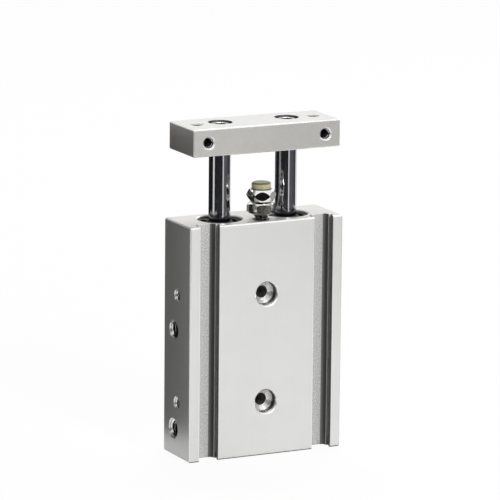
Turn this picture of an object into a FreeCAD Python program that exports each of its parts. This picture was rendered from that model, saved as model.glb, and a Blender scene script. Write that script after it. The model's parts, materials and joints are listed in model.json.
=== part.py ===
import FreeCAD, Part
import os
import re
import Sketcher

# Guided pneumatic cylinder: two pistons in one housing, their rods joined by an end plate.
# Millimetres. X runs across the two bores, Y from front to back, Z up along the rods.
# The origin is the centre of the housing's bottom face. The rods are fully extended.

SIZES = {
    # Housing, an aluminium extrusion cut to length
    "housing_width": 46.0,
    "housing_depth": 16.5,
    "housing_height": 65.0,
    "housing_chamfer": 0.35,
    "housing_corner_radius": 0.5,
    "rod_spacing": 20.0,
    "rod_setback": 1.0,  # the bores' plane, behind the middle of the housing
    "bore_diameter": 10.0,
    "seat_diameter": 12.3,  # covers' seats at both ends of each bore
    "seat_chamfer": 0.35,
    # Sensor grooves, T-shaped, in the front face
    "panel_width": 28.5,  # flat land between the two grooves
    "rail_width": 3.0,  # land outside each groove
    "groove_depth": 4.1,
    "lip_thickness": 1.1,
    "undercut_height": 1.6,
    "undercut_reach": 0.6,
    "groove_fillet": 1.2,
    # Mounting holes through the housing, front to back
    "mount_diameter": 3.4,
    "mount_head_diameter": 6.5,
    "mount_head_depth": 3.3,
    "mount_head_chamfer": 0.3,
    "mount_height": 15.0,
    "mount_spacing": 30.0,
    # Tapped holes in the sides, at their major diameters
    "side_thread_diameter": 3.0,
    "side_thread_depth": 5.0,
    "thread_chamfer": 0.35,
    "drill_angle": 118.0,  # degrees, the point at the bottom of drilled holes
    # Ports in the sides, and the passages that join both bores
    "port_diameter": 5.0,
    "port_depth": 4.6,
    "port_setback": 2.0,  # from each end of the bore
    "port_offset": 2.0,  # towards the back
    "passage_diameter": 1.8,
    # Clearances
    "running_clearance": 0.05,  # radial, between pieces that slide
    "fit_clearance": 0.02,  # radial, between pieces that are fitted
    "thread_clearance": 0.05,  # radial, between a screw and its hole
    # Retaining rings
    "ring_inset": 0.8,  # from the housing's end to the ring
    "ring_thickness": 0.8,
    "ring_groove_depth": 0.25,
    "ring_width": 1.2,
    "ring_gap": 4.2,
    "ear_diameter": 2.0,
    "ear_hole_diameter": 0.8,
    # Covers that close the bores
    "cover_chamfer": 0.3,
    "oring_section": 1.2,
    "oring_groove_width": 1.5,
    "oring_setback": 4.5,  # from the rod cover's inner end
    "head_flange_thickness": 3.9,
    "spigot_diameter": 7.0,
    "spigot_length": 4.0,
    # Rod seals
    "rod_seal_diameter": 9.2,
    "rod_seal_height": 3.4,
    "rod_seal_lip": 1.2,
    "seal_retainer_thickness": 0.6,
    "seal_retainer_gap": 0.25,
    # Pistons
    "piston_travel": 10.0,
    "piston_clearance": 0.1,
    "piston_length": 12.5,
    "piston_chamfer": 0.4,
    "nose_diameter": 7.4,
    "nose_length": 2.0,
    "piston_groove_depth": 1.4,
    "piston_seal_width": 2.2,
    "piston_seal_lip": 0.35,
    "piston_seal_height": 9.6,  # middle of the seal above the piston's lower face
    "magnet_width": 3.0,
    "magnet_height": 4.6,
    "stop_ring_thickness": 1.5,
    "stop_ring_wall": 0.9,
    "stop_disc_diameter": 8.0,
    "stop_disc_hole": 4.6,
    # Piston rods
    "rod_diameter": 6.0,
    "rod_chamfer": 0.3,
    "rod_tenon_diameter": 4.0,
    "rod_tenon_recess": 0.4,
    "rod_thread_depth": 8.0,
    "rod_pilot_depth": 1.5,  # how far the rods reach into the end plate
    # End plate
    "extended_gap": 19.0,  # housing to end plate, rods fully out
    "plate_width": 44.0,
    "plate_depth": 15.5,
    "plate_thickness": 7.5,
    "plate_chamfer": 0.25,
    "plate_corner_radius": 0.4,
    "plate_hole_spacing": 35.0,
    "plate_thread_diameter": 3.0,
    "plate_thread_depth": 4.5,
    # Screws that hold the plate on the rods
    "screw_diameter": 3.0,
    "screw_clearance_diameter": 3.4,
    "screw_head_diameter": 5.5,
    "screw_head_height": 3.0,
    "screw_head_pocket": 6.7,
    "screw_head_inset": 0.3,
    "screw_thread_length": 6.5,
    "screw_chamfer": 0.25,
    "screw_socket": 2.5,  # across flats
    "screw_socket_depth": 1.5,
    # Bumper bolt, its nut and its bumper
    "bolt_offset": 4.2,  # in front of the middle of the housing
    "bolt_diameter": 4.0,
    "bolt_hole_depth": 8.5,
    "bolt_engagement": 6.0,
    "bolt_end_chamfer": 0.5,
    "nut_lift": 1.6,
    "nut_height": 3.2,
    "nut_turn": 12.5,  # degrees
    "bolt_head_gap": 0.4,
    "bolt_head_height": 3.2,
    "bolt_head_turn": 21.0,  # degrees
    "hexagon_width": 7.0,  # across flats, of the head and of the nut
    "hexagon_bevel_diameter": 8.4,  # where the bevels' cones end, outside the corners
    "nut_face_diameter": 6.3,  # the flat circle left inside the nut's bevels
    "nut_bevel": 0.8,
    "head_face_diameter": 6.7,  # the flat circle left inside the head's steeper bevels
    "head_bevel": 1.5,
    "bumper_diameter": 5.3,
    "bumper_seat_depth": 1.8,
    "bumper_stand": 1.9,
    "bumper_chamfer": 0.35,
    # Plugs in the unused ports
    "plug_length": 3.8,
    "plug_inset": 0.3,
    "plug_chamfer": 0.4,
    "plug_socket": 2.5,  # across flats
    "plug_socket_depth": 2.2,
}

# Places that follow from the sizes, from the housing's bottom up.
PLACES = {
    "half_width": "housing_width / 2",
    "half_depth": "housing_depth / 2",
    "rod_side": "rod_spacing / 2",
    "seat_radius": "seat_diameter / 2",
    "ring_groove_radius": "seat_radius + ring_groove_depth",
    "head_flange_bottom": "ring_inset + ring_thickness",
    "bore_bottom": "head_flange_bottom + head_flange_thickness",
    "spigot_top": "bore_bottom + spigot_length",
    "stop_disc_bottom": "spigot_top + piston_travel",
    "piston_bottom": "stop_disc_bottom + stop_ring_thickness",
    "piston_top": "piston_bottom + piston_length",
    "nose_top": "piston_top + nose_length",
    "rod_cover_bottom": "nose_top + stop_ring_thickness",
    "rod_ring_top": "housing_height - ring_inset",
    "rod_ring_bottom": "rod_ring_top - ring_thickness",
    "rod_cover_top": "rod_ring_bottom - seal_retainer_thickness",
    "rod_seal_bottom": "rod_cover_top - rod_seal_height",
    "lower_port_z": "bore_bottom + port_setback",
    "upper_port_z": "rod_cover_bottom - port_setback",
    "plate_bottom": "housing_height + extended_gap",
    "plate_top": "plate_bottom + plate_thickness",
    "plate_middle": "plate_bottom + plate_thickness / 2",
    "rod_top": "plate_bottom + rod_pilot_depth",
    "screw_head_top": "plate_top - screw_head_inset",
    "screw_head_bottom": "screw_head_top - screw_head_height",
    "screw_end": "rod_top - screw_thread_length",
    "nut_bottom": "housing_height + nut_lift",
    "bolt_head_bottom": "nut_bottom + nut_height + bolt_head_gap",
    "bolt_head_top": "bolt_head_bottom + bolt_head_height",
    "bumper_bottom": "bolt_head_top - bumper_seat_depth",
    "bumper_top": "bolt_head_top + bumper_stand",
    "groove_outer": "half_width - rail_width",
    "groove_inner": "panel_width / 2",
}

NAME = re.compile(r"[a-z]+(?:_[a-z]+)+")
SIDES = {"left": "-1", "right": "1"}

doc = FreeCAD.newDocument("GuidedCylinder")
sheet = doc.addObject("Spreadsheet::Sheet", "Sizes")
for row, (alias, number) in enumerate(SIZES.items(), 1):
    sheet.set(f"A{row}", alias.replace("_", " "))
    sheet.set(f"B{row}", str(number))
    sheet.setAlias(f"B{row}", alias)
doc.recompute()


def formula(text):
    """The formula with every name spelled out, down to the cells of the sheet."""

    def spell(match):
        name = match.group()
        return f"({formula(PLACES[name])})" if name in PLACES else f"Sizes.{name}"

    return NAME.sub(spell, text)


def amount(text):
    return float(sheet.evalExpression(formula(text)))


def bind(item, setting, text):
    item.setExpression(setting, formula(text))


def new_body(label, x="0", y="0", z="0"):
    """A PartDesign body whose place follows the sheet."""
    body = doc.addObject("PartDesign::Body", label)
    body.Label = label
    for axis, text in (("x", x), ("y", y), ("z", z)):
        bind(body, f"Placement.Base.{axis}", text)
    return body


def origin_part(body, role):
    return next(feature for feature in body.Origin.OriginFeatures if feature.Role == role)


def new_sketch(body, name, plane, offset):
    """An empty sketch on the body's own origin plane, moved by offset along the plane's normal."""
    sketch = body.newObject("Sketcher::SketchObject", name)
    sketch.AttachmentSupport = (origin_part(body, plane), "")
    sketch.MapMode = "FlatFace"
    bind(sketch, "AttachmentOffset.Base.z", offset)
    return sketch


def pin(sketch, edge, end, point):
    """Hold one end of an edge at a place given by two formulas."""
    for kind, text in zip(("DistanceX", "DistanceY"), point):
        number = sketch.addConstraint(Sketcher.Constraint(kind, -1, 1, edge, end, amount(text)))
        bind(sketch, f"Constraints[{number}]", text)


def vector(point):
    return FreeCAD.Vector(amount(point[0]), amount(point[1]), 0)


def draw_outline(sketch, corners):
    """A closed outline of straight edges through the corners."""
    places = [vector(corner) for corner in corners]
    first = sketch.GeometryCount
    for start, end in zip(places, places[1:] + places[:1]):
        sketch.addGeometry(Part.LineSegment(start, end))
    for number, corner in enumerate(corners):
        edge = first + number
        following = first + (number + 1) % len(corners)
        sketch.addConstraint(Sketcher.Constraint("Coincident", edge, 2, following, 1))
        pin(sketch, edge, 1, corner)


def draw_circle(sketch, centre, radius):
    circle = Part.Circle(vector(centre), FreeCAD.Vector(0, 0, 1), amount(radius))
    edge = sketch.addGeometry(circle)
    number = sketch.addConstraint(Sketcher.Constraint("Radius", edge, amount(radius)))
    bind(sketch, f"Constraints[{number}]", radius)
    pin(sketch, edge, 3, centre)


def extrude(body, name, kind, sketch, length):
    """A Pad that grows along the sketch's normal, or a Pocket that cuts against it."""
    feature = body.newObject(f"PartDesign::{kind}", name)
    feature.Profile = sketch
    bind(feature, "Length", length)
    body.Tip = feature
    return feature


def turn(body, name, kind, profile, centre="0", plane="XZ_Plane", offset="0", along="up"):
    """Turn a profile of (radius, distance along the axis) corners: a Revolution or a Groove."""
    sketch = new_sketch(body, f"{name}_profile", plane, offset)
    if along == "up":
        corners = [(f"{centre} + {radius}", distance) for radius, distance in profile]
        axis = [(centre, "0"), (centre, "1")]
    else:
        corners = [(distance, f"{centre} + {radius}") for radius, distance in profile]
        axis = [("0", centre), ("1", centre)]
    draw_outline(sketch, corners)
    line = sketch.addGeometry(Part.LineSegment(vector(axis[0]), vector(axis[1])), True)
    pin(sketch, line, 1, axis[0])
    pin(sketch, line, 2, axis[1])
    feature = body.newObject(f"PartDesign::{kind}", name)
    feature.Profile = sketch
    feature.ReferenceAxis = (sketch, ["Axis0"])
    feature.Angle = 360
    body.Tip = feature
    return feature


def mirror(body, name, features, plane):
    copy = body.newObject("PartDesign::Mirrored", name)
    copy.Originals = features
    copy.MirrorPlane = (origin_part(body, plane), [""])
    body.Tip = copy


def repeat(body, name, features, axis, length):
    copy = body.newObject("PartDesign::LinearPattern", name)
    copy.Originals = features
    copy.Direction = (origin_part(body, axis), [""])
    bind(copy, "Length", length)
    copy.Occurrences = 2
    body.Tip = copy


def dress(body, name, kind, base, chosen, setting, size):
    """A Chamfer or Fillet on the edges of base whose middle the test chooses."""
    doc.recompute()
    edges = [f"Edge{number}" for number, edge in enumerate(base.Shape.Edges, 1)
             if chosen(edge, edge.BoundBox.Center)]
    feature = body.newObject(f"PartDesign::{kind}", name)
    feature.Base = (base, edges)
    bind(feature, setting, size)
    body.Tip = feature
    return feature


def near(number, text):
    return abs(number - amount(text)) < 1e-4


def lies_level(edge, z_formula):
    box = edge.BoundBox
    return near(box.ZMin, z_formula) and near(box.ZMax, z_formula)


def stands_up(edge):
    return edge.BoundBox.ZLength > max(edge.BoundBox.XLength, edge.BoundBox.YLength)


def hexagon(width, turned):
    """Corners of a hexagon of this width across flats, turned by an angle in degrees."""
    return [(f"{width} / sqrt(3) * cos({turned} + {angle})", f"{width} / sqrt(3) * sin({turned} + {angle})")
            for angle in range(0, 360, 60)]


def blind_hole(radius, chamfer, depth, mouth, inward):
    """Profile of a tapped hole: its bevelled mouth, its wall and the drill's point."""
    point = f"{depth} + ({radius}) / tan(drill_angle / 2)"
    steps = [("0", "0"), (f"{radius} + {chamfer}", "0"), (radius, chamfer), (radius, depth), ("0", point)]
    return [(reach, f"{mouth} + {inward} * ({deep})") for reach, deep in steps]


def make_housing():
    body = new_body("housing")
    outline = new_sketch(body, "outline", "XY_Plane", "0")
    lip, under, floor = (f"-half_depth + {depth}" for depth in
                         ("lip_thickness", "lip_thickness + undercut_height", "groove_depth"))
    groove = [("groove_outer", "-half_depth"), ("groove_outer", lip),
              ("groove_outer + undercut_reach", lip), ("groove_outer + undercut_reach", under),
              ("groove_outer", under), ("groove_outer", floor),
              ("groove_inner", floor), ("groove_inner", under),
              ("groove_inner - undercut_reach", under), ("groove_inner - undercut_reach", lip),
              ("groove_inner", lip), ("groove_inner", "-half_depth")]
    left_groove = [(f"-({x})", y) for x, y in groove]
    draw_outline(outline, [("-half_width", "half_depth"), ("-half_width", "-half_depth"), *left_groove,
                           *reversed(groove), ("half_width", "-half_depth"), ("half_width", "half_depth")])
    block = extrude(body, "block", "Pad", outline, "housing_height")

    def at_groove_floor(edge, middle):
        at_wall = near(abs(middle.x), "groove_outer") or near(abs(middle.x), "groove_inner")
        return stands_up(edge) and at_wall and near(middle.y, floor)

    floors = dress(body, "groove_floors", "Fillet", block, at_groove_floor, "Radius", "groove_fillet")

    def at_corner(edge, middle):
        return stands_up(edge) and near(abs(middle.x), "half_width") and near(abs(middle.y), "half_depth")

    corners = dress(body, "corners", "Fillet", floors, at_corner, "Radius", "housing_corner_radius")

    def at_end_rim(edge, middle):
        beyond_x = abs(middle.x) > amount("half_width - housing_corner_radius")
        beyond_y = abs(middle.y) > amount("half_depth - housing_corner_radius")
        return (beyond_x or beyond_y) and (lies_level(edge, "0") or lies_level(edge, "housing_height"))

    dress(body, "end_rims", "Chamfer", corners, at_end_rim, "Size", "housing_chamfer")
    bore = turn(body, "bore", "Groove", bore_profile(), centre="rod_side", offset="-rod_setback")
    mirror(body, "other_bore", [bore], "YZ_Plane")
    wide = "mount_head_diameter / 2"
    head = [("0", "0"), (f"{wide} + mount_head_chamfer", "0"), (wide, "mount_head_chamfer"),
            (wide, "mount_head_depth"), ("mount_diameter / 2", "mount_head_depth")]
    front = [(radius, f"-half_depth + {depth}") for radius, depth in head]
    back = [(radius, f"half_depth - {depth}") for radius, depth in reversed(head)]
    mount = turn(body, "mount_hole", "Groove", front + back, centre="mount_height",
                 plane="YZ_Plane", along="across")
    repeat(body, "upper_mount_hole", [mount], "Z_Axis", "mount_spacing")
    side_hole = blind_hole("side_thread_diameter / 2", "thread_chamfer", "side_thread_depth",
                           "half_width", "-1")
    side_holes = [turn(body, f"side_hole_{number}", "Groove", side_hole, centre=z, along="across")
                  for number, z in enumerate(("mount_height", "mount_height + mount_spacing"))]
    mirror(body, "left_side_holes", side_holes, "YZ_Plane")
    port = [("0", "0"), ("port_diameter / 2 + thread_chamfer", "0"), ("port_diameter / 2", "thread_chamfer"),
            ("port_diameter / 2", "port_depth"), ("passage_diameter / 2", "port_depth")]
    passage = [(radius, f"-half_width + {depth}") for radius, depth in port]
    passage += [(radius, f"half_width - ({depth})") for radius, depth in reversed(port)]
    for name, z in (("lower_port", "lower_port_z"), ("upper_port", "upper_port_z")):
        turn(body, name, "Groove", passage, centre=z, offset="-port_offset", along="across")
    bolt_hole = blind_hole("bolt_diameter / 2", "thread_chamfer", "bolt_hole_depth", "housing_height", "-1")
    turn(body, "bolt_hole", "Groove", bolt_hole, offset="bolt_offset")
    return body


def bore_profile():
    """A bore and, at both its ends, a cover's wider seat with a groove for the retaining ring."""
    return [("0", "0"), ("seat_radius + seat_chamfer", "0"), ("seat_radius", "seat_chamfer"),
            ("seat_radius", "ring_inset"), ("ring_groove_radius", "ring_inset"),
            ("ring_groove_radius", "head_flange_bottom"), ("seat_radius", "head_flange_bottom"),
            ("seat_radius", "bore_bottom"), ("bore_diameter / 2", "bore_bottom"),
            ("bore_diameter / 2", "rod_cover_bottom"), ("seat_radius", "rod_cover_bottom"),
            ("seat_radius", "rod_ring_bottom"), ("ring_groove_radius", "rod_ring_bottom"),
            ("ring_groove_radius", "rod_ring_top"), ("seat_radius", "rod_ring_top"),
            ("seat_radius", "housing_height - seat_chamfer"),
            ("seat_radius + seat_chamfer", "housing_height"), ("0", "housing_height")]


def oring_groove(middle):
    """Corners of an O-ring's groove in a cover, from below to above."""
    floor = "seat_radius - oring_section - 2 * fit_clearance"
    low = f"{middle} - oring_groove_width / 2"
    high = f"{middle} + oring_groove_width / 2"
    wall = "seat_radius - fit_clearance"
    return [(wall, low), (floor, low), (floor, high), (wall, high)]


def make_oring(label, x, middle):
    """An O-ring as it lies squeezed in its groove, its section flattened on eight sides."""
    body = new_body(label, x, "rod_setback", middle)
    centre = "seat_radius - fit_clearance - oring_section / 2"
    reach = "oring_section / 2 / cos(22.5)"
    turn(body, "ring", "Revolution",
         [(f"{centre} + {reach} * cos({angle})", f"{reach} * sin({angle})")
          for angle in (22.5 + 45 * corner for corner in range(8))])
    return body


def make_retaining_ring(label, x, z):
    """A flat C-shaped ring with two eared ends, its gap at the back."""
    body = new_body(label, x, "rod_setback", z)
    outer = "ring_groove_radius - fit_clearance"
    inner = f"{outer} - ring_width"
    ear_x = "(ring_gap + ear_hole_diameter) / 2"
    ear_reach = f"({inner} - ear_diameter / 6)"
    ear_y = f"sqrt({ear_reach} * {ear_reach} - {ear_x} * {ear_x})"
    band = new_sketch(body, "band_outline", "XY_Plane", "0")
    draw_circle(band, ("0", "0"), outer)
    draw_circle(band, ("0", "0"), inner)
    extrude(body, "band", "Pad", band, "ring_thickness")
    gap = new_sketch(body, "gap_outline", "XY_Plane", "ring_thickness")
    draw_outline(gap, [("-ring_gap / 2", "0"), ("ring_gap / 2", "0"),
                       ("ring_gap / 2", "seat_diameter"), ("-ring_gap / 2", "seat_diameter")])
    extrude(body, "gap", "Pocket", gap, "ring_thickness")
    for name, kind, z_offset, radius in (("ears", "Pad", "0", "ear_diameter / 2"),
                                         ("ear_holes", "Pocket", "ring_thickness", "ear_hole_diameter / 2")):
        circles = new_sketch(body, f"{name}_outline", "XY_Plane", z_offset)
        for side in SIDES.values():
            draw_circle(circles, (f"{side} * {ear_x}", ear_y), radius)
        extrude(body, name, kind, circles, "ring_thickness")
    return body


def make_rod_cover(label, x):
    """The rod's bearing: it fills the rod-end seat and holds the rod seal in its top."""
    body = new_body(label, x, "rod_setback")
    wall = "seat_radius - fit_clearance"
    bearing = "rod_diameter / 2 + running_clearance"
    pocket = "rod_seal_diameter / 2 + fit_clearance"
    turn(body, "cover", "Revolution",
         [(bearing, "rod_cover_bottom"), (f"{wall} - cover_chamfer", "rod_cover_bottom"),
          (wall, "rod_cover_bottom + cover_chamfer"), *oring_groove("rod_cover_bottom + oring_setback"),
          (wall, "rod_cover_top - cover_chamfer"), (f"{wall} - cover_chamfer", "rod_cover_top"),
          (pocket, "rod_cover_top"), (pocket, "rod_seal_bottom"), (bearing, "rod_seal_bottom")])
    return body


def make_rod_seal(label, x):
    """A lip seal about the rod, its V towards the pressure below."""
    body = new_body(label, x, "rod_setback")
    inner = "rod_diameter / 2 + running_clearance"
    outer = "rod_seal_diameter / 2"
    turn(body, "seal", "Revolution",
         [(inner, "rod_seal_bottom"), (f"({inner} + {outer}) / 2", "rod_seal_bottom + rod_seal_lip"),
          (outer, "rod_seal_bottom"), (outer, "rod_cover_top"), (inner, "rod_cover_top")])
    return body


def make_seal_retainer(label, x):
    body = new_body(label, x, "rod_setback")
    inner = "rod_diameter / 2 + seal_retainer_gap"
    outer = "seat_radius - fit_clearance"
    turn(body, "washer", "Revolution",
         [(inner, "rod_cover_top"), (outer, "rod_cover_top"),
          (outer, "rod_ring_bottom"), (inner, "rod_ring_bottom")])
    return body


def make_head_cover(label, x):
    """The bore's lower lid, with a spigot that keeps the port's passage clear of the piston."""
    body = new_body(label, x, "rod_setback")
    wall = "seat_radius - fit_clearance"
    spigot = "spigot_diameter / 2"
    turn(body, "cover", "Revolution",
         [("0", "head_flange_bottom"), (f"{wall} - cover_chamfer", "head_flange_bottom"),
          (wall, "head_flange_bottom + cover_chamfer"),
          *oring_groove("head_flange_bottom + head_flange_thickness / 2"),
          (wall, "bore_bottom"), (spigot, "bore_bottom"), (spigot, "spigot_top - cover_chamfer"),
          (f"{spigot} - cover_chamfer", "spigot_top"), ("0", "spigot_top")])
    return body


def make_port_plug(label, z):
    """A socket set screw in a port of the right side."""
    body = new_body(label, "half_width - plug_inset", "port_offset", z)
    radius = "port_diameter / 2 - fit_clearance"
    turn(body, "plug", "Revolution",
         [("0", "-plug_length"), (f"{radius} - plug_chamfer", "-plug_length"),
          (radius, "plug_chamfer - plug_length"), (radius, "-plug_chamfer"),
          (f"{radius} - plug_chamfer", "0"), ("0", "0")], along="across")
    socket = new_sketch(body, "socket_outline", "YZ_Plane", "0")
    draw_outline(socket, hexagon("plug_socket", "0"))
    extrude(body, "socket", "Pocket", socket, "plug_socket_depth")
    return body


def make_end_plate():
    body = new_body("end_plate")
    outline = new_sketch(body, "outline", "XY_Plane", "plate_bottom")
    draw_outline(outline, [(f"{x} * plate_width / 2", f"{y} * plate_depth / 2")
                           for x, y in ((-1, -1), (1, -1), (1, 1), (-1, 1))])
    block = extrude(body, "block", "Pad", outline, "plate_thickness")
    corners = dress(body, "corners", "Fillet", block, lambda edge, middle: stands_up(edge),
                    "Radius", "plate_corner_radius")
    dress(body, "rims", "Chamfer", corners, lambda edge, middle: not stands_up(edge), "Size", "plate_chamfer")
    pilot = "rod_diameter / 2 + fit_clearance"
    shank = "screw_clearance_diameter / 2"
    pocket = "screw_head_pocket / 2"
    rod_seat = turn(body, "rod_seat", "Groove",
                    [("0", "plate_bottom"), (pilot, "plate_bottom"), (pilot, "rod_top"), (shank, "rod_top"),
                     (shank, "screw_head_bottom"), (pocket, "screw_head_bottom"),
                     (pocket, "plate_top"), ("0", "plate_top")], centre="rod_side", offset="-rod_setback")
    thread = "plate_thread_diameter / 2"
    top_hole = turn(body, "top_hole", "Groove",
                    [("0", "plate_bottom"), (f"{thread} + thread_chamfer", "plate_bottom"),
                     (thread, "plate_bottom + thread_chamfer"), (thread, "plate_top - thread_chamfer"),
                     (f"{thread} + thread_chamfer", "plate_top"), ("0", "plate_top")],
                    centre="plate_hole_spacing / 2")
    mirror(body, "left_seat_and_top_hole", [rod_seat, top_hole], "YZ_Plane")
    face_hole = blind_hole(thread, "thread_chamfer", "plate_thread_depth", "-plate_depth / 2", "1")
    face_holes = [turn(body, f"face_hole_{side}", "Groove", face_hole, centre="plate_middle",
                       plane="YZ_Plane", offset=f"{sign} * plate_hole_spacing / 2", along="across")
                  for side, sign in SIDES.items()]
    mirror(body, "back_face_holes", face_holes, "XZ_Plane")
    return body


def make_piston_rod(label, x):
    """The rod, with a tenon for the piston below and a tapped hole for the plate's screw above."""
    body = new_body(label, x, "rod_setback")
    radius = "rod_diameter / 2"
    tenon = "rod_tenon_diameter / 2"
    tenon_end = "piston_bottom + rod_tenon_recess"
    tapped = "screw_diameter / 2 + thread_clearance"
    hole_bottom = "rod_top - rod_thread_depth"
    turn(body, "rod", "Revolution",
         [("0", tenon_end), (f"{tenon} - rod_chamfer", tenon_end), (tenon, f"{tenon_end} + rod_chamfer"),
          (tenon, "nose_top"), (radius, "nose_top"), (radius, "rod_top - rod_chamfer"),
          (f"{radius} - rod_chamfer", "rod_top"), (tapped, "rod_top"), (tapped, hole_bottom),
          ("0", f"{hole_bottom} - ({tapped}) / tan(drill_angle / 2)")])
    return body


def make_rod_screw(label, x):
    """A socket head screw that draws the end plate down on the rod."""
    body = new_body(label, x, "rod_setback")
    head = "screw_head_diameter / 2"
    shank = "screw_diameter / 2"
    turn(body, "screw", "Revolution",
         [("0", "screw_end"), (f"{shank} - screw_chamfer", "screw_end"), (shank, "screw_end + screw_chamfer"),
          (shank, "screw_head_bottom"), (head, "screw_head_bottom"), (head, "screw_head_top - screw_chamfer"),
          (f"{head} - screw_chamfer", "screw_head_top"), ("0", "screw_head_top")])
    socket = new_sketch(body, "socket_outline", "XY_Plane", "screw_head_top")
    draw_outline(socket, hexagon("screw_socket", "0"))
    extrude(body, "socket", "Pocket", socket, "screw_socket_depth")
    return body


def piston_groove(middle, width):
    """Corners of a groove round the piston, from below to above."""
    wall = "bore_diameter / 2 - piston_clearance"
    floor = f"{wall} - piston_groove_depth"
    low = f"piston_bottom + {middle} - {width} / 2"
    high = f"piston_bottom + {middle} + {width} / 2"
    return [(wall, low), (floor, low), (floor, high), (wall, high)]


def make_piston(label, x):
    body = new_body(label, x, "rod_setback")
    wall = "bore_diameter / 2 - piston_clearance"
    hole = "rod_tenon_diameter / 2 + fit_clearance"
    nose = "nose_diameter / 2"
    turn(body, "piston", "Revolution",
         [(hole, "piston_bottom"), (f"{wall} - piston_chamfer", "piston_bottom"),
          (wall, "piston_bottom + piston_chamfer"), *piston_groove("magnet_height", "magnet_width"),
          *piston_groove("piston_seal_height", "piston_seal_width"),
          (wall, "piston_top - piston_chamfer"), (f"{wall} - piston_chamfer", "piston_top"),
          (nose, "piston_top"), (nose, "nose_top"), (hole, "nose_top")])
    return body


def make_piston_seal(label, x):
    """A two-lipped seal in the piston's upper groove."""
    body = new_body(label, x, "rod_setback")
    inner = "bore_diameter / 2 - piston_clearance - piston_groove_depth + fit_clearance"
    outer = "bore_diameter / 2 - running_clearance"
    middle = "piston_bottom + piston_seal_height"
    low, high = (f"{middle} {sign} (piston_seal_width / 2 - fit_clearance)" for sign in "-+")
    waist = f"{outer} - piston_seal_lip"
    turn(body, "seal", "Revolution",
         [(inner, low), (waist, low), (outer, f"{low} + piston_seal_lip"), (waist, middle),
          (outer, f"{high} - piston_seal_lip"), (waist, high), (inner, high)])
    return body


def make_magnet(label, x):
    body = new_body(label, x, "rod_setback")
    inner = "bore_diameter / 2 - piston_clearance - piston_groove_depth + fit_clearance"
    outer = "bore_diameter / 2 - 2 * piston_clearance"
    low, high = (f"piston_bottom + magnet_height {sign} (magnet_width / 2 - fit_clearance)" for sign in "-+")
    turn(body, "magnet", "Revolution", [(inner, low), (outer, low), (outer, high), (inner, high)])
    return body


def make_rod_side_bumper(label, x):
    """A ring round the rod that meets the rod cover when the rods are fully out."""
    body = new_body(label, x, "rod_setback")
    inner = "rod_diameter / 2 + running_clearance"
    outer = f"{inner} + stop_ring_wall"
    turn(body, "ring", "Revolution",
         [(inner, "nose_top"), (outer, "nose_top"), (outer, "rod_cover_bottom"), (inner, "rod_cover_bottom")])
    return body


def make_head_side_bumper(label, x):
    """A ring under the piston that would meet the head cover's spigot."""
    body = new_body(label, x, "rod_setback")
    inner = "stop_disc_hole / 2"
    outer = "stop_disc_diameter / 2"
    turn(body, "disc", "Revolution",
         [(inner, "stop_disc_bottom"), (outer, "stop_disc_bottom"),
          (outer, "piston_bottom"), (inner, "piston_bottom")])
    return body


def bevel_hexagon(body, kind, low, high):
    """Cut the six corners of a hexagon back to a cone at both its faces."""
    for name, face, inward in (("lower_bevel", low, "1"), ("upper_bevel", high, "-1")):
        turn(body, name, "Groove",
             [(f"{kind}_face_diameter / 2", face), ("hexagon_bevel_diameter / 2", face),
              ("hexagon_bevel_diameter / 2", f"{face} + {inward} * {kind}_bevel")])


def make_bumper_bolt():
    """A hexagon screw whose head carries the bumper, with the thread's major size as its shank."""
    body = new_body("bumper_bolt", y="-bolt_offset")
    shank = "bolt_diameter / 2 - thread_clearance"
    bolt_end = "housing_height - bolt_engagement"
    turn(body, "shank", "Revolution",
         [("0", bolt_end), (f"{shank} - bolt_end_chamfer", bolt_end),
          (shank, f"{bolt_end} + bolt_end_chamfer"), (shank, "bolt_head_bottom"), ("0", "bolt_head_bottom")])
    head = new_sketch(body, "head_outline", "XY_Plane", "bolt_head_bottom")
    draw_outline(head, hexagon("hexagon_width", "-bolt_head_turn"))
    extrude(body, "head", "Pad", head, "bolt_head_height")
    bevel_hexagon(body, "head", "bolt_head_bottom", "bolt_head_top")
    seat = "bumper_diameter / 2 + fit_clearance"
    turn(body, "bumper_seat", "Groove",
         [("0", "bumper_bottom"), (seat, "bumper_bottom"), (seat, "bolt_head_top"), ("0", "bolt_head_top")])
    return body


def make_lock_nut():
    body = new_body("lock_nut", y="-bolt_offset")
    nut_top = "nut_bottom + nut_height"
    thread = "bolt_diameter / 2"
    block = new_sketch(body, "nut_outline", "XY_Plane", "nut_bottom")
    draw_outline(block, hexagon("hexagon_width", "-nut_turn"))
    extrude(body, "nut", "Pad", block, "nut_height")
    bevel_hexagon(body, "nut", "nut_bottom", nut_top)
    turn(body, "thread", "Groove",
         [("0", "nut_bottom"), (f"{thread} + thread_chamfer", "nut_bottom"),
          (thread, "nut_bottom + thread_chamfer"), (thread, f"{nut_top} - thread_chamfer"),
          (f"{thread} + thread_chamfer", nut_top), ("0", nut_top)])
    return body


def make_stop_bumper():
    body = new_body("stop_bumper", y="-bolt_offset")
    radius = "bumper_diameter / 2"
    turn(body, "plug", "Revolution",
         [("0", "bumper_bottom"), (radius, "bumper_bottom"), (radius, "bumper_top - bumper_chamfer"),
          (f"{radius} - bumper_chamfer", "bumper_top"), ("0", "bumper_top")])
    return body


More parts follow.
